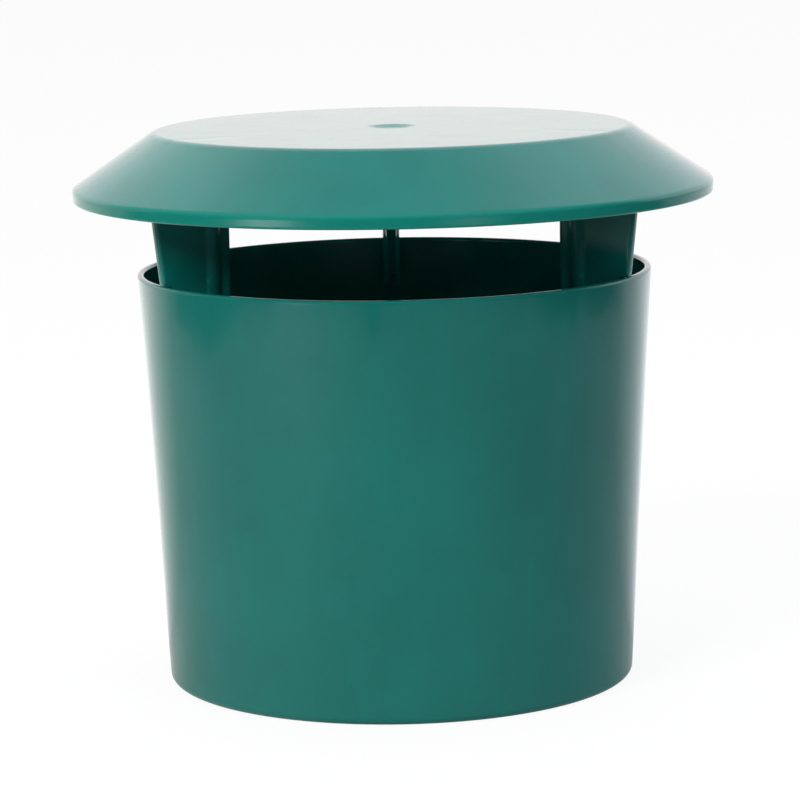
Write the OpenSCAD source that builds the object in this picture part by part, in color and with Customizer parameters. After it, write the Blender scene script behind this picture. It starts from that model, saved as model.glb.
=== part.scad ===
// Cup trap with a lift-off roof. The bait stands in the cup, insects walk or fly in through the gap
// under the roof, and the roof keeps rain out. The origin is the centre of the cup's foot, +Z is up.

/* [Cup] */
// Outside diameter at the rim
rim_d = 88.5; // [84:0.5:96]
// Outside diameter at the foot
foot_d = 80.7; // [72:0.1:84]
// Height of the cup
cup_h = 71.2; // [50:0.1:76]
// Thickness of the side wall
cup_wall = 1.2; // [0.8:0.1:2]
// Thickness of the floor
floor_t = 1.4; // [0.8:0.1:3]
// Height of the foot ring under the floor
foot_h = 0.8; // [0.4:0.1:2]
// Width of the foot ring
foot_w = 3.2; // [2.5:0.1:6]
// Radius round the outside bottom corner
foot_r = 1.2; // [0.4:0.1:2]

/* [Roof] */
// Outside diameter of the lid, over the eaves
lid_d = 110; // [106:1:130]
// Diameter at which the flat top and the skirt would meet
top_d = 82; // [76:1:92]
// Radius of the soft corner between the flat top and the skirt
top_round = 2.5; // [2:0.5:8]
// Height of the whole trap with its lid on
total_h = 95.5; // [92:0.5:110]
// Slope of the skirt, in degrees
skirt_angle = 33.8; // [26:0.1:40]
// Thickness of the roof
lid_wall = 1.4; // [1:0.1:2]
// Radius of the rounded eave
eave_round = 1; // [0.6:0.1:1.4]
// Height of the bottom of the eave's lip
lip_z = 83.95; // [82:0.05:86]
// Width of the flat under the lip
lip_w = 1.2; // [0.8:0.1:2]
// Diameter of the gate dimple in the middle of the top
gate_d = 8.5; // [4:0.5:14]
// Depth of the gate dimple
gate_depth = 0.5; // [0.2:0.1:1]

/* [Legs] */
// Angle between the back leg and each of the two front legs
leg_spread = 117.5; // [90:0.5:130]
// Thickness of a leg blade
leg_t = 1.8; // [1.2:0.1:3]
// Radius of the inner edge of a blade
leg_in = 31.6; // [28:0.1:34]
// How far a blade goes into the cup
leg_dip = 5.5; // [3:0.5:20]
// Lean of a blade's outer edge above the rim, in degrees
leg_lean = 6.5; // [4:0.1:12]
// How far a blade's shoulder reaches out over the cup's wall
seat_w = 1.15; // [0.4:0.05:1.2]
// Gap between a shoulder and the rim with the lid seated
seat_gap = 0.1; // [0.05:0.05:0.3]
// Diameter of the round ejector boss on a blade
boss_d = 3; // [2:0.1:5]
// Radius at which the boss stands
boss_at = 34.8; // [33:0.1:38]
// How far the boss goes into the cup
boss_dip = 8; // [4:0.5:24]
// Gap between a blade's plug and the inside of the rim
leg_gap = 0.15; // [0.1:0.05:0.6]

/* [Hidden] */
$fn = 96;

green_cup = [0.05, 0.42, 0.36];
green_lid = [0.07, 0.45, 0.38];

rim_r = rim_d / 2;
foot_rad = foot_d / 2;
draft = atan((rim_r - foot_rad) / cup_h);
floor_z = foot_h + floor_t;
rim_round = 0.35;
rim_chamfer = 0.2;
floor_fillet = 2;
ring_slope = 0.5;
vestige_r = 1.1;
vestige_h = 0.3;

top_r = top_d / 2;
eave_r = lid_d / 2;
skirt_slope = tan(skirt_angle);
eave_c = eave_r - eave_round;
lip_lean = 8;
lip_draft = 0.1;
under_z = total_h - lid_wall;
gate_r = gate_d / 2;

leg_angles = [90, 90 + leg_spread, 90 - leg_spread];
tip_chamfer = 1;
plug_lean = 8;

// Points of an arc about centre c, from angle a0 to angle a1
function arc(c, r, a0, a1, n = 8) = [
    for (i = [0:n])
        let (a = a0 + (a1 - a0) * i / n)
            c + r * [cos(a), sin(a)]
];

// Centre distance in from a leaning wall line, for a round of radius r that touches it at height z
function round_in(wall_r, z, r) = wall_r + z * tan(draft) - r / cos(draft);

// Outline of half of the cup, turned about the axis
function cup_outline() = concat(
    [[0, foot_h], [foot_rad - foot_w - ring_slope, foot_h], [foot_rad - foot_w, 0]],
    arc([round_in(foot_rad, foot_r, foot_r), foot_r], foot_r, -90, -draft),
    arc([round_in(foot_rad, cup_h - rim_round, rim_round), cup_h - rim_round], rim_round, -draft, 90),
    [[rim_r - cup_wall + rim_chamfer, cup_h], [rim_r - cup_wall, cup_h - rim_chamfer]],
    arc([round_in(foot_rad - cup_wall, floor_z + floor_fillet, floor_fillet), floor_z + floor_fillet],
        floor_fillet, -draft, -90),
    [[0, floor_z]]
);

// Height of the sloping skirt at radius r, a depth below its outer face
function skirt_z(r, depth) = total_h - (r - top_r) * skirt_slope - depth / cos(skirt_angle);

// Radius at which flat top and skirt would meet, at a depth below the outer face
function corner_r(depth) = top_r - depth * tan(skirt_angle / 2);

// Radius of the lip's outer bottom edge, where the leaning face below the round comes down
lip_r = eave_c + eave_round / cos(lip_lean) - (skirt_z(eave_c, eave_round) - lip_z) * tan(lip_lean);

// Radius at which the lip's inner face meets the underside
lip_in = lip_r - lip_w - lip_draft;

// Centre of the soft corner, shared by its outer and inner face
top_c = [top_r - top_round * tan(skirt_angle / 2), total_h - top_round];

// Outline of half of the roof, turned about the axis
function roof_outline() = concat(
    [[0, total_h - gate_depth], [gate_r - gate_depth, total_h - gate_depth], [gate_r, total_h]],
    arc(top_c, top_round, 90, 90 - skirt_angle),
    arc([eave_c, skirt_z(eave_c, eave_round)], eave_round, 90 - skirt_angle, -lip_lean),
    [[lip_r, lip_z], [lip_r - lip_w, lip_z], [lip_in, skirt_z(lip_in, lid_wall)]],
    arc(top_c, top_round - lid_wall, 90 - skirt_angle, 90),
    [[gate_r + lid_wall / 2, under_z]],
    [[gate_r - gate_depth, under_z - gate_depth], [0, under_z - gate_depth]]
);

// Radius of a blade's outer edge at height z, above its shoulder
function blade_r(z) = rim_r - cup_wall + seat_w + (z - cup_h) * tan(leg_lean);

// Radius of a plug's outer edge at height z, below the shoulder
function plug_r(z) = rim_r - cup_wall - leg_gap + (z - cup_h) * tan(plug_lean);

// A blade's outer edge runs up to the middle of the skirt's thickness
mid = lid_wall / 2;
blade_root_r = (blade_r(skirt_z(0, mid))) / (1 + skirt_slope * tan(leg_lean));
blade_top_z = skirt_z(blade_root_r, mid);
blade_foot_z = cup_h - leg_dip;
shoulder_z = cup_h + seat_gap;

// Outline of a blade in its own plane: radius across, height up
blade_outline = [
    [leg_in, blade_foot_z],
    [plug_r(blade_foot_z) - tip_chamfer, blade_foot_z],
    [plug_r(blade_foot_z + tip_chamfer), blade_foot_z + tip_chamfer],
    [plug_r(shoulder_z), shoulder_z],
    [blade_r(shoulder_z), shoulder_z],
    [blade_root_r, blade_top_z],
    [corner_r(mid), total_h - mid],
    [leg_in, total_h - mid]
];

// One leg: a radial blade with a round boss. Its shoulder stands on the rim, its plug goes into the cup.
module leg() {
    rotate([90, 0, 0])
        linear_extrude(height = leg_t, center = true)
            polygon(blade_outline);
    translate([boss_at, 0, cup_h - boss_dip])
        cylinder(d = boss_d, h = total_h - mid - cup_h + boss_dip);
}

// The cup: one moulding with a tapered wall, a floor and a foot ring
module cup() {
    color(green_cup) {
        rotate_extrude() polygon(cup_outline());
        translate([0, 0, foot_h - vestige_h])
            cylinder(r = vestige_r, h = vestige_h * 2);
    }
}

// The lid: one moulding with the roof and the three legs that plug into the cup
module lid() {
    color(green_lid) {
        rotate_extrude() polygon(roof_outline());
        for (angle = leg_angles)
            rotate([0, 0, angle]) leg();
    }
}

cup();
lid();
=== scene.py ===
import math

import bmesh
import bpy
from mathutils import Matrix, Vector


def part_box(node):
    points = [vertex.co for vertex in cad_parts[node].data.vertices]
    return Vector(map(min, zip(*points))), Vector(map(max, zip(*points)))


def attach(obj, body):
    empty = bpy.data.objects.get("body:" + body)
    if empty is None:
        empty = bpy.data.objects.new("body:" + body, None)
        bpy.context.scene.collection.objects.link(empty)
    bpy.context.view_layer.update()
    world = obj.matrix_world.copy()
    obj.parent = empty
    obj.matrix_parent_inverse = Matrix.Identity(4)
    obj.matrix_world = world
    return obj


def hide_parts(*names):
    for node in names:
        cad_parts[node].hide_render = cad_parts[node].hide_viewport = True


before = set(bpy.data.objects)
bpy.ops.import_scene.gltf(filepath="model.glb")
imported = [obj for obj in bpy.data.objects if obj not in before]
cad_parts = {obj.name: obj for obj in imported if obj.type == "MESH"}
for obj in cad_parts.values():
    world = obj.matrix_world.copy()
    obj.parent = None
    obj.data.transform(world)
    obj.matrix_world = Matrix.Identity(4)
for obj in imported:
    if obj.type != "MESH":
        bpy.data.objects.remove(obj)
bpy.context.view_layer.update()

MM = 0.001
cup_low, cup_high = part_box("cup")
lid_low, lid_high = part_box("lid")

# ---------------------------------------------------------------- driving sizes, in metres

rim_radius = cup_high.x
cup_height = cup_high.z
foot_radius = 40.35 * MM
cup_wall = 1.2 * MM
floor_thickness = 1.4 * MM
foot_height = 0.8 * MM
foot_width = 3.2 * MM

eave_radius = 55.0 * MM
top_radius = 41.0 * MM
top_round = 2.5 * MM
top_height = lid_high.z
skirt_angle = math.radians(33.8)
roof_wall = 1.4 * MM
eave_round = 1.0 * MM
lip_lean = math.radians(3)
lip_height = 83.95 * MM
lip_width = 1.2 * MM
gate_radius = 4.25 * MM
gate_depth = 0.42 * MM

leg_spread = 117.5
leg_thickness = 1.8 * MM
leg_inner = 31.6 * MM
leg_dip = 5.5 * MM
leg_lean = math.radians(6.5)
plug_lean = math.radians(8)
leg_gap = 0.15 * MM
seat_width = 1.15 * MM
seat_gap = 0.06 * MM
boss_radius = 1.5 * MM
boss_at = 34.8 * MM
boss_foot = lid_low.z

SEGMENTS = 256
LEG_ANGLES = [math.radians(a) for a in (90, 90 + leg_spread, 90 - leg_spread)]

skirt_slope = math.tan(skirt_angle)


# ---------------------------------------------------------------- outlines and turned meshes

def rounded(corners, step=2.0 * MM, guard=0.12 * MM, arc_step=0.35 * MM, turn_step=math.radians(11)):
    """Points of an outline given as (radius, height, round) corners. Rounds become arcs, straight
    stretches are cut every step, and a point close to each round keeps the flats flat in shading."""
    spots = [Vector((r, z)) for r, z, _ in corners]
    arcs = []
    for i, (r, z, size) in enumerate(corners):
        if size == 0 or i in (0, len(corners) - 1):
            arcs.append([spots[i]])
            continue
        before = (spots[i] - spots[i - 1]).normalized()
        after = (spots[i + 1] - spots[i]).normalized()
        turn = before.angle_signed(after)
        reach = size * math.tan(abs(turn) / 2)
        start = spots[i] - before * reach
        side = Vector((-before.y, before.x)) if turn < 0 else Vector((before.y, -before.x))
        centre = start + side * size
        count = max(2, math.ceil(abs(turn) / turn_step), math.ceil(abs(turn) * size / arc_step))
        spin = [Matrix.Rotation(-turn * k / count, 2) for k in range(count + 1)]
        arcs.append([centre + s @ (start - centre) for s in spin])
    points = []
    for i, arc in enumerate(arcs):
        points += arc
        if i == len(arcs) - 1:
            break
        a, b = arc[-1], arcs[i + 1][0]
        length = (b - a).length
        if length < 3 * guard:
            continue
        along = (b - a) / length
        count = max(1, round((length - 2 * guard) / step))
        for k in range(count + 1):
            points.append(a + along * (guard + (length - 2 * guard) * k / count))
    return [(p.x, p.y) for p in points]


def turned(mesh, points, segments=SEGMENTS, shape=None, centre=(0, 0)):
    """Adds an outline turned about a vertical axis to a bmesh. shape moves each point a little."""
    rings = []
    for r, z in points:
        on_axis = r < 1e-7
        ring = []
        for k in range(1 if on_axis else segments):
            angle = 2 * math.pi * k / segments
            spread, lift = (r, z) if shape is None or on_axis else shape(r, z, angle)
            ring.append(mesh.verts.new((centre[0] + spread * math.cos(angle),
                                        centre[1] + spread * math.sin(angle), lift)))
        rings.append(ring)
    for low, high in zip(rings, rings[1:]):
        for k in range(segments):
            n = (k + 1) % segments
            if len(low) == 1:
                mesh.faces.new((low[0], high[n], high[k]))
            elif len(high) == 1:
                mesh.faces.new((low[k], low[n], high[0]))
            else:
                mesh.faces.new((low[k], low[n], high[n], high[k]))


def finished(mesh, name):
    """Turns a bmesh into a smooth-shaded object in the scene."""
    bmesh.ops.remove_doubles(mesh, verts=mesh.verts, dist=1e-7)
    bmesh.ops.recalc_face_normals(mesh, faces=mesh.faces)
    data = bpy.data.meshes.new(name)
    mesh.to_mesh(data)
    mesh.free()
    data.shade_smooth()
    piece = bpy.data.objects.new(name, data)
    bpy.context.scene.collection.objects.link(piece)
    return piece


# ---------------------------------------------------------------- the cup

floor_top = foot_height + floor_thickness
wall_lean = (rim_radius - foot_radius) / cup_height
vestige_radius = 1.1 * MM
vestige_height = 0.3 * MM

CUP_OUTLINE = [
    (0, foot_height - vestige_height, 0),
    (vestige_radius, foot_height - vestige_height, 0.12 * MM),
    (vestige_radius + 0.1 * MM, foot_height, 0.1 * MM),
    (foot_radius - foot_width - 0.5 * MM, foot_height, 0.3 * MM),
    (foot_radius - foot_width, 0, 0.15 * MM),
    (foot_radius, 0, 1.2 * MM),
    (rim_radius, cup_height, 0.50 * MM),
    (rim_radius - cup_wall, cup_height, 0.50 * MM),
    (foot_radius - cup_wall + floor_top * wall_lean, floor_top, 2.0 * MM),
    (0, floor_top, 0),
]


def near(angle, target, width):
    """1 at the target angle, falling smoothly to 0 over about the width."""
    away = (angle - target + math.pi) % (2 * math.pi) - math.pi
    return math.exp(-(away / width) ** 2)


def cup_warp(r, z, angle):
    """A thin moulding is never quite round: the wall is a little oval, and a little proud by each leg."""
    if r < foot_radius * 0.93:
        return r, z
    height = z / cup_height
    oval = 0.10 * MM * height ** 2 * math.cos(2 * angle + 0.9)
    ripple = 0.025 * MM * height * math.cos(5 * angle + 4.0 * height)
    push = sum(near(angle, leg % (2 * math.pi), 0.16) for leg in LEG_ANGLES)
    return r + oval + ripple + 0.10 * MM * push * max(0.0, height - 0.86) / 0.14, z


def make_cup():
    mesh = bmesh.new()
    turned(mesh, rounded(CUP_OUTLINE), shape=cup_warp)
    return finished(mesh, "cup_moulding")


# ---------------------------------------------------------------- the lid

under_top = top_height - roof_wall
corner_radius = top_radius - roof_wall * math.tan(skirt_angle / 2)
eave_centre = eave_radius - eave_round
eave_middle = top_height - (eave_centre - top_radius) * skirt_slope - eave_round / math.cos(skirt_angle)
lip_face = (eave_middle - lip_height) * math.tan(lip_lean)
lip_radius = eave_centre + eave_round / math.cos(lip_lean) - lip_face
lip_inner = lip_radius - lip_width - 0.1 * MM
corner_reach = eave_round / math.cos((math.pi / 2 - skirt_angle + lip_lean) / 2)
corner_turn = (math.pi / 2 - skirt_angle - lip_lean) / 2
corner_out = corner_reach * math.cos(corner_turn)
corner_up = corner_reach * math.sin(corner_turn)
gate_floor = top_height - gate_depth
nub = 0.08 * MM


def under_height(r):
    """Height of the roof's underside at radius r."""
    if r < corner_radius:
        return under_top
    return under_top - (r - corner_radius) * skirt_slope


ROOF_OUTLINE = [
    (0, gate_floor + nub, 0),
    (0.55 * MM, gate_floor + nub, 0.1 * MM),
    (0.75 * MM, gate_floor, 0.1 * MM),
    (gate_radius - 2.0 * MM, gate_floor, 3.0 * MM),
    (gate_radius, top_height, 0.5 * MM),
    (top_radius, top_height, top_round),
    (eave_centre + corner_out, eave_middle + corner_up, eave_round),
    (lip_radius, lip_height, 0.4 * MM),
    (lip_radius - lip_width, lip_height, 0.3 * MM),
    (lip_inner, under_height(lip_inner), 0.6 * MM),
    (corner_radius, under_top, top_round - roof_wall),
    (gate_radius + 0.8 * MM, under_top, 0.4 * MM),
    (gate_radius, under_top - gate_depth, 0.4 * MM),
    (0, under_top - gate_depth, 0),
]


def roof_warp(r, z, angle):
    """Sink marks over the legs, where the thick root pulled the skin in as it cooled."""
    if z < under_height(r) + 0.5 * roof_wall or r < leg_inner - 3 * MM:
        return r, z
    edge = min(1.0, (r - leg_inner + 3 * MM) / (4 * MM)) * min(1.0, max(0.0, (47 * MM - r) / (3 * MM)))
    width = 1.6 * MM / r
    sink = sum(near(angle, leg % (2 * math.pi), width) for leg in LEG_ANGLES)
    return r, z - 0.035 * MM * sink * max(0.0, edge)


def blade_edge(z):
    """Radius of a blade's outer edge at height z, above the shoulder that stands on the rim."""
    return rim_radius - cup_wall + seat_width + (z - cup_height) * math.tan(leg_lean)


def plug_edge(z):
    """Radius of a blade's outer edge at height z, below the shoulder."""
    return rim_radius - cup_wall - leg_gap + (z - cup_height) * math.tan(plug_lean)


def blade_half(r):
    """Half the thickness of a blade at radius r, with the boss blended in."""
    flat = leg_thickness / 2
    round_part = math.sqrt(max(0.0, boss_radius ** 2 - (r - boss_at) ** 2))
    soft = 0.22 * MM
    return (flat + round_part + math.sqrt((flat - round_part) ** 2 + soft ** 2)) / 2


def blade_section(inner, outer, grow):
    """(radius, half thickness) pairs along a blade that runs from inner to outer, fatter by grow."""
    bend = 0.5 * MM
    stations = [bend * (1 - math.cos(math.pi / 2 * k / 5)) for k in range(6)]
    length = outer - inner
    middle = [k / 46 for k in range(1, 46)]
    along = list(stations)
    along += [bend + (length - 2 * bend) * m for m in middle]
    along += [length - s for s in reversed(stations)]
    pairs = []
    for s in along:
        r = inner + s
        half = blade_half(r) + grow
        to_end = min(s, length - s)
        if to_end < bend:
            half -= bend - math.sqrt(bend ** 2 - (bend - to_end) ** 2)
        pairs.append((r, half))
    return pairs


blade_foot = cup_height - leg_dip
foot_round = 0.28 * MM
blade_base = blade_foot + foot_round
blade_top = under_top + 0.5 * roof_wall
root_flare = 0.3 * MM
shoulder_level = (cup_height + seat_gap - blade_base) / (blade_top - blade_base)


def level_height(r, level):
    """Height of a blade's ring at radius r: flat low down, and along the roof's slope at level 1."""
    return blade_base + (blade_top - blade_base) * level - (under_top - under_height(r)) * level ** 3


def foot_rings():
    """Rings of (radius, half thickness, height) round a blade's rounded foot."""
    rings = []
    for k in range(5):
        turn = math.pi / 2 * k / 4
        inset = foot_round * (1 - math.sin(turn))
        z = blade_foot + foot_round * (1 - math.cos(turn))
        pairs = blade_section(leg_inner + inset, plug_edge(z) - inset, -inset)
        rings.append([(r, half, z) for r, half in pairs])
    return rings


def blade_ring(level):
    """One ring of a blade, from level 0 at its base to 1 inside the roof, flared where they meet."""
    edge_at = plug_edge if level < shoulder_level else blade_edge
    edge = rim_radius
    for _ in range(4):
        edge = edge_at(level_height(edge, level))
    ring = []
    for r, half in blade_section(leg_inner, edge, 0):
        z = level_height(r, level)
        below = under_height(r) - z
        grow = 0.0
        if below < root_flare:
            short = root_flare - max(below, 0.0)
            grow = root_flare - math.sqrt(max(0.0, root_flare ** 2 - short ** 2))
        outward = max(0.0, 1 - (edge - r) / MM) - max(0.0, 1 - (r - leg_inner) / MM)
        ring.append((r + grow * outward, half + grow, z))
    return ring


def add_leg(mesh, angle):
    """One leg: a blade with a shoulder and a flared root, lofted from its foot up into the roof."""
    levels = [1 - (1 - k / 40) ** 1.8 for k in range(1, 41)]
    levels = sorted(levels + [shoulder_level - 0.0005, shoulder_level + 0.0005])
    spin = Matrix.Rotation(angle, 3, "Z")
    loops = []
    for ring in foot_rings() + [blade_ring(level) for level in levels]:
        loop = [(r, -half, z) for r, half, z in ring]
        loop += [(r, half, z) for r, half, z in reversed(ring)]
        loops.append([mesh.verts.new(spin @ Vector(p)) for p in loop])
    for low, high in zip(loops, loops[1:]):
        for k in range(len(low)):
            n = (k + 1) % len(low)
            mesh.faces.new((low[k], low[n], high[n], high[k]))
    for loop, flip in ((loops[0], True), (loops[-1], False)):
        count = len(loop)
        for k in range(count // 2 - 1):
            quad = (loop[k], loop[k + 1], loop[count - 2 - k], loop[count - 1 - k])
            mesh.faces.new(tuple(reversed(quad)) if flip else quad)


BOSS_OUTLINE = [
    (0, boss_foot, 0),
    (boss_radius, boss_foot, 0.4 * MM),
    (boss_radius, cup_height, 0),
    (0, cup_height, 0),
]


def make_lid():
    mesh = bmesh.new()
    turned(mesh, rounded(ROOF_OUTLINE), shape=roof_warp)
    for angle in LEG_ANGLES:
        add_leg(mesh, angle)
        spot = (boss_at * math.cos(angle), boss_at * math.sin(angle))
        turned(mesh, rounded(BOSS_OUTLINE, step=1 * MM), 48, centre=spot)
    return finished(mesh, "lid_moulding")


# ---------------------------------------------------------------- materials

class Nodes:
    """Short calls for building one node tree: a new material's by default."""

    def __init__(self, name="", tree=None):
        if tree is None:
            self.material = bpy.data.materials.new(name)
            self.material.use_nodes = True
            tree = self.material.node_tree
        self.tree = tree
        self.tree.nodes.clear()

    def add(self, kind, inputs=None, **settings):
        node = self.tree.nodes.new(kind)
        for key, value in settings.items():
            setattr(node, key, value)
        for key, value in (inputs or {}).items():
            socket = node.inputs[key]
            if isinstance(value, bpy.types.NodeSocket):
                self.tree.links.new(value, socket)
            else:
                socket.default_value = value
        return node

    def math(self, operation, a, b=0.0):
        return self.add("ShaderNodeMath", {0: a, 1: b}, operation=operation).outputs[0]

    def noise(self, vector, scale, detail=3.0, rough=0.5):
        return self.add("ShaderNodeTexNoise", {"Vector": vector, "Scale": scale, "Detail": detail,
                                               "Roughness": rough}).outputs["Fac"]

    def stretch(self, vector, scale, turn=(0, 0, 0)):
        inputs = {"Vector": vector, "Scale": scale, "Rotation": turn}
        return self.add("ShaderNodeMapping", inputs).outputs[0]

    def spread(self, value, low, high, to_low=0.0, to_high=1.0):
        return self.add("ShaderNodeMapRange", {"Value": value, "From Min": low, "From Max": high,
                                               "To Min": to_low, "To Max": to_high}).outputs[0]

    def hill(self, value, centre, width):
        """1 at the centre, falling smoothly to 0 over about the width."""
        away = self.math("DIVIDE", self.math("SUBTRACT", value, centre), width)
        return self.math("EXPONENT", self.math("MULTIPLY", self.math("MULTIPLY", away, away), -1.0))

    def mix(self, factor, a, b):
        node = self.add("ShaderNodeMix", data_type="RGBA")
        for name, value in (("Factor", factor), ("A", a), ("B", b)):
            socket = node.inputs[name]
            if isinstance(value, bpy.types.NodeSocket):
                self.tree.links.new(value, socket)
            else:
                socket.default_value = value
        return node.outputs["Result"]


def shade(colour, factor):
    """The colour, lighter or darker by a factor, as the four numbers that a node takes."""
    return tuple(c * factor for c in colour[:3]) + (1.0,)


CUP_GREEN = (0.006, 0.187, 0.163)
LID_GREEN = (0.006, 0.195, 0.172)
# Paler green painted on the lid's thin edge: a painted glow that stands in for light let through it.
EDGE_GLOW_PAINT = (0.007, 0.245, 0.200, 1.0)
DUST = (0.30, 0.62, 0.55, 1.0)


def moulded_plastic(name, colour, radial, glow_paint_from=None):
    """Glossy pigmented polypropylene: clouded pigment, flow lines, smudges, hairline scratches and dust.
    radial turns the flow lines out from the gate in the middle; otherwise they run up the wall.
    The last argument gives a radius past which the colour turns a paler green: a painted glow that stands in
    for light let through the thin edge."""
    n = Nodes(name)
    place = n.add("ShaderNodeTexCoord").outputs["Object"]
    axes = n.add("ShaderNodeSeparateXYZ", {0: place})
    angle = n.math("ARCTAN2", axes.outputs["Y"], axes.outputs["X"])
    radius = n.math("SQRT", n.math("ADD", n.math("POWER", axes.outputs["X"], 2.0),
                                   n.math("POWER", axes.outputs["Y"], 2.0)))
    along = n.math("MULTIPLY", radius if radial else axes.outputs["Z"], 9.0)
    ring = {0: n.math("SINE", angle), 1: n.math("COSINE", angle), 2: along}
    around = n.add("ShaderNodeCombineXYZ", ring)
    flow = n.noise(around.outputs[0], 9.0, 4.0, 0.6)
    cloud = n.noise(place, 38.0, 4.0, 0.55)
    smudge = n.noise(place, 85.0, 5.0, 0.65)
    pebble = n.noise(place, 420.0, 2.0, 0.5)

    hairlines = []
    for turn in ((0.3, 0.7, 0.2), (1.2, 0.1, 0.9), (0.6, 1.9, 1.7)):
        lines = n.noise(n.stretch(place, (30.0, 1500.0, 30.0), turn), 1.0, 2.0, 0.4)
        patch = n.noise(n.stretch(place, (1.0, 1.0, 1.0), turn), 60.0, 2.0)
        hairlines.append(n.math("MULTIPLY", n.spread(lines, 0.70, 0.76), n.spread(patch, 0.52, 0.62)))
    scratches = n.math("MAXIMUM", n.math("MAXIMUM", hairlines[0], hairlines[1]), hairlines[2])

    grit = n.add("ShaderNodeTexVoronoi", {"Vector": place, "Scale": 210.0, "Randomness": 1.0})
    pick = n.add("ShaderNodeSeparateColor", {0: grit.outputs["Color"]}).outputs[0]
    dust = n.math("MULTIPLY", n.math("LESS_THAN", grit.outputs["Distance"], 0.06),
                  n.math("GREATER_THAN", pick, 0.98))

    tone = n.mix(n.spread(cloud, 0.35, 0.65), shade(colour, 0.93), shade(colour, 1.07))
    tone = n.mix(n.spread(flow, 0.45, 0.75, 0.0, 0.30), tone, shade(colour, 1.22))
    # Painted glow: past the given radius the colour is raised to the paler edge green, standing in for light
    # let through the thin edge.
    if glow_paint_from is not None:
        tone = n.mix(n.spread(radius, glow_paint_from, glow_paint_from + 0.3 * MM), tone, EDGE_GLOW_PAINT)
    tone = n.mix(n.math("MULTIPLY", dust, 0.55), tone, DUST)

    gloss = n.spread(smudge, 0.35, 0.75, 0.06, 0.12)
    gloss = n.math("ADD", gloss, n.math("MULTIPLY", scratches, 0.12))
    gloss = n.math("ADD", gloss, n.spread(flow, 0.4, 0.7, 0.0, 0.03))

    height = n.math("ADD", n.math("MULTIPLY", pebble, 0.25), n.math("MULTIPLY", flow, 0.3))
    height = n.math("SUBTRACT", height, n.math("MULTIPLY", scratches, 0.8))
    height = n.math("ADD", height, n.math("MULTIPLY", dust, 3.0))
    bump = n.add("ShaderNodeBump", {"Height": height, "Strength": 0.10, "Distance": 0.00005})

    surface = n.add("ShaderNodeBsdfPrincipled", {
        "Base Color": tone, "Roughness": gloss, "IOR": 1.49, "Normal": bump.outputs[0],
        "Subsurface Weight": 0.4, "Subsurface Radius": (0.08, 1.0, 0.8), "Subsurface Scale": 0.0012})
    n.add("ShaderNodeOutputMaterial", {"Surface": surface.outputs[0]})
    return n.material


# ---------------------------------------------------------------- the pieces

cup = make_cup()
cup.data.materials.append(moulded_plastic("cup_plastic", CUP_GREEN, radial=False))
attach(cup, "cup")
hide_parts("cup")

lid = make_lid()
# The lid's thin edge beyond 54.5 mm gets the painted glow colour.
lid.data.materials.append(moulded_plastic("lid_plastic", LID_GREEN, radial=True, glow_paint_from=54.5 * MM))
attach(lid, "lid")
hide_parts("lid")


# ---------------------------------------------------------------- floor, light and camera

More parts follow.
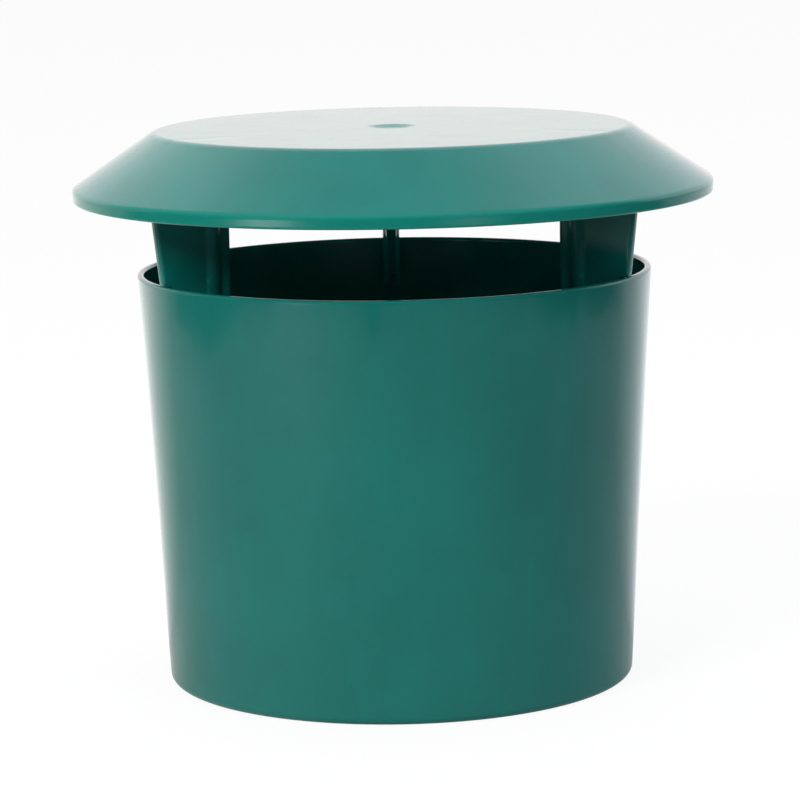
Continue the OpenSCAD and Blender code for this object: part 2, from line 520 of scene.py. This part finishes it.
def make_floor():
    """White paper. The camera sees it nearly shadowless. What the object reflects is the studio: a sheet
    that is bright behind and dim in front, with pale patches front left and dark clutter round it."""
    bpy.ops.mesh.primitive_plane_add(size=7.0)
    floor = bpy.context.object
    floor.name = "floor"
    n = Nodes("floor_paper")
    place = n.add("ShaderNodeTexCoord").outputs["Object"]
    axes = n.add("ShaderNodeSeparateXYZ", {0: place})
    x, y = axes.outputs["X"], axes.outputs["Y"]
    tone = n.mix(n.noise(place, 3.0), (0.88, 0.88, 0.875, 1.0), (0.92, 0.92, 0.915, 1.0))
    paper = n.add("ShaderNodeBsdfDiffuse", {"Color": tone})
    lift = n.add("ShaderNodeEmission", {"Color": (1.0, 1.0, 1.0, 1.0), "Strength": 1.02})
    seen = n.add("ShaderNodeMixShader", {0: 0.88, 1: paper.outputs[0], 2: lift.outputs[0]})

    reach = n.math("SQRT", n.math("ADD", n.math("MULTIPLY", x, x), n.math("MULTIPLY", y, y)))
    turn = n.math("MULTIPLY", n.math("ARCTAN2", x, n.math("MULTIPLY", y, -1.0)), 180 / math.pi)
    left = n.spread(turn, 0.0, -60.0)
    back = n.spread(n.math("ABSOLUTE", n.math("ADD", turn, -4.0)), 60.0, 108.0)
    far_back = n.spread(n.math("ABSOLUTE", n.math("ADD", turn, 2.0)), 112.0, 152.0)
    glow = n.math("ADD", n.math("MULTIPLY", back, 0.16), n.math("MULTIPLY", far_back, 0.80))
    glow = n.math("MULTIPLY", n.math("ADD", glow, 0.345), n.spread(left, 0.0, 1.0, 1.0, 1.28))
    pale = n.math("MULTIPLY", n.hill(turn, -43.0, 21.0), n.spread(reach, 0.15, 0.30, 0.08, 0.32))
    glow = n.math("ADD", glow, pale)
    shine = n.math("ADD", n.math("MULTIPLY", n.hill(turn, -44.0, 10.0), 3.6),
                   n.math("MULTIPLY", n.hill(turn, 25.0, 9.0), 0.7))
    band = n.math("SUBTRACT", n.spread(reach, 0.38, 0.43), n.spread(reach, 0.50, 0.56))
    shine = n.math("MULTIPLY", shine, band)
    ragged = n.math("ADD", reach, n.spread(n.noise(place, 14.0, 1.5), 0.3, 0.7, -0.012, 0.012))
    clutter = n.math("MAXIMUM", n.hill(turn, -88.0, 13.0), n.hill(turn, -10.0, 5.0))
    clutter = n.math("MAXIMUM", clutter, n.math("MULTIPLY", n.hill(turn, 74.0, 20.0), 0.75))
    edge = n.math("ADD", ragged, n.math("MULTIPLY", clutter, 0.045))
    near_side = n.spread(y, 0.10, 0.18)
    dark = n.math("MULTIPLY", n.spread(edge, 0.345, 0.360), n.math("SUBTRACT", 1.0, near_side))
    glow = n.math("MULTIPLY", glow, n.spread(dark, 0.0, 1.0, 1.0, 0.14))
    glow = n.math("MULTIPLY", glow, n.spread(y, 0.33, 0.55, 1.0, 0.75))
    glow = n.math("ADD", glow, shine)
    tint = n.mix(n.spread(turn, -60.0, 60.0), (1.02, 1.0, 0.98, 1.0), (0.96, 0.99, 1.03, 1.0))
    lit = n.add("ShaderNodeEmission", {"Color": tint, "Strength": glow})
    path = n.add("ShaderNodeLightPath").outputs["Is Camera Ray"]
    both = n.add("ShaderNodeMixShader", {0: path, 1: lit.outputs[0], 2: seen.outputs[0]})
    n.add("ShaderNodeOutputMaterial", {"Surface": both.outputs[0]})
    floor.data.materials.append(n.material)


def make_world():
    """A studio that is plain white to the camera. The object reflects it bright behind, dim overhead and
    dark in front but for two low windows, with a slightly rosy glow along the horizon behind."""
    world = bpy.data.worlds.new("studio")
    world.use_nodes = True
    bpy.context.scene.world = world
    n = Nodes(tree=world.node_tree)
    way = n.add("ShaderNodeSeparateXYZ", {0: n.add("ShaderNodeTexCoord").outputs["Generated"]})
    x, y, z = way.outputs["X"], way.outputs["Y"], way.outputs["Z"]
    behind = n.spread(n.math("ADD", y, n.math("MULTIPLY", x, 0.16)), 0.25, 0.48, 0.46, 1.19)
    front = n.spread(y, 0.20, 0.05)
    glow = n.math("MULTIPLY", behind, n.spread(n.math("SUBTRACT", z, front), -0.80, -0.10, 0.10, 1.0))
    turn = n.math("MULTIPLY", n.math("ARCTAN2", x, n.math("MULTIPLY", y, -1.0)), 180 / math.pi)
    shine = n.math("ADD", n.math("MULTIPLY", n.hill(turn, -42.0, 12.0), 1.2),
                   n.math("MULTIPLY", n.hill(turn, 25.0, 9.0), 0.4))
    glow = n.math("ADD", glow, n.math("MULTIPLY", shine, n.spread(z, 0.16, 0.08)))
    tint = n.mix(n.spread(x, -0.9, 0.6), (1.02, 1.0, 0.985, 1.0), (0.96, 0.99, 1.03, 1.0))
    rosy = n.math("MULTIPLY", n.spread(z, 0.17, 0.10), n.spread(y, 0.7, 0.9))
    tint = n.mix(rosy, tint, (1.02, 0.965, 0.955, 1.0))
    lit = n.add("ShaderNodeBackground", {"Color": tint, "Strength": glow})
    seen = n.add("ShaderNodeBackground", {"Color": (1.0, 1.0, 1.0, 1.0), "Strength": 0.99})
    path = n.add("ShaderNodeLightPath").outputs["Is Camera Ray"]
    both = n.add("ShaderNodeMixShader", {0: path, 1: lit.outputs[0], 2: seen.outputs[0]})
    n.add("ShaderNodeOutputWorld", {"Surface": both.outputs[0]})


def make_light(name, place, size, power, colour):
    """A square soft box aimed at the middle of the object. It lights the plastic but never mirrors in it."""
    data = bpy.data.lights.new(name, "AREA")
    data.shape = "SQUARE"
    data.size = size
    data.energy = power
    data.color = colour
    lamp = bpy.data.objects.new(name, data)
    lamp.visible_glossy = False
    lamp.location = place
    aim = Vector((0, 0, top_height / 2)) - Vector(place)
    lamp.rotation_euler = aim.to_track_quat("-Z", "Y").to_euler()
    bpy.context.scene.collection.objects.link(lamp)


def make_camera():
    """Camera fitted to the outlines: place, pitch down, roll about the view and focal length."""
    distance, height = 0.6290, 0.1503
    swing = math.radians(-0.75)
    pitch, yaw, roll = 0.1614, 0.0009, -0.0194
    data = bpy.data.cameras.new("camera")
    data.lens = 165.16
    data.sensor_width = 36.0
    data.clip_start = 0.01
    camera = bpy.data.objects.new("camera", data)
    level = math.cos(pitch)
    forward = Vector((math.sin(yaw) * level, math.cos(yaw) * level, -math.sin(pitch)))
    right = Vector((math.cos(yaw), -math.sin(yaw), 0))
    up = right.cross(forward)
    across = math.cos(roll) * right + math.sin(roll) * up
    upward = -math.sin(roll) * right + math.cos(roll) * up
    turn = Matrix((across, upward, -forward)).transposed().to_4x4()
    place = Matrix.Translation((0, -distance, height))
    camera.matrix_world = Matrix.Rotation(swing, 4, "Z") @ place @ turn
    bpy.context.scene.collection.objects.link(camera)
    bpy.context.scene.camera = camera


make_floor()
make_world()
make_light("key_left", (-0.63, -0.94, 0.78), 0.5, 11.4, (1.0, 0.99, 0.96))
make_light("fill_right", (0.72, -0.86, 0.64), 0.4, 2.8, (0.86, 0.95, 1.0))
make_light("overhead", (-0.10, -0.25, 1.40), 0.8, 2.5, (0.97, 1.0, 1.0))
make_camera()
bpy.context.scene.view_settings.view_transform = "Standard"
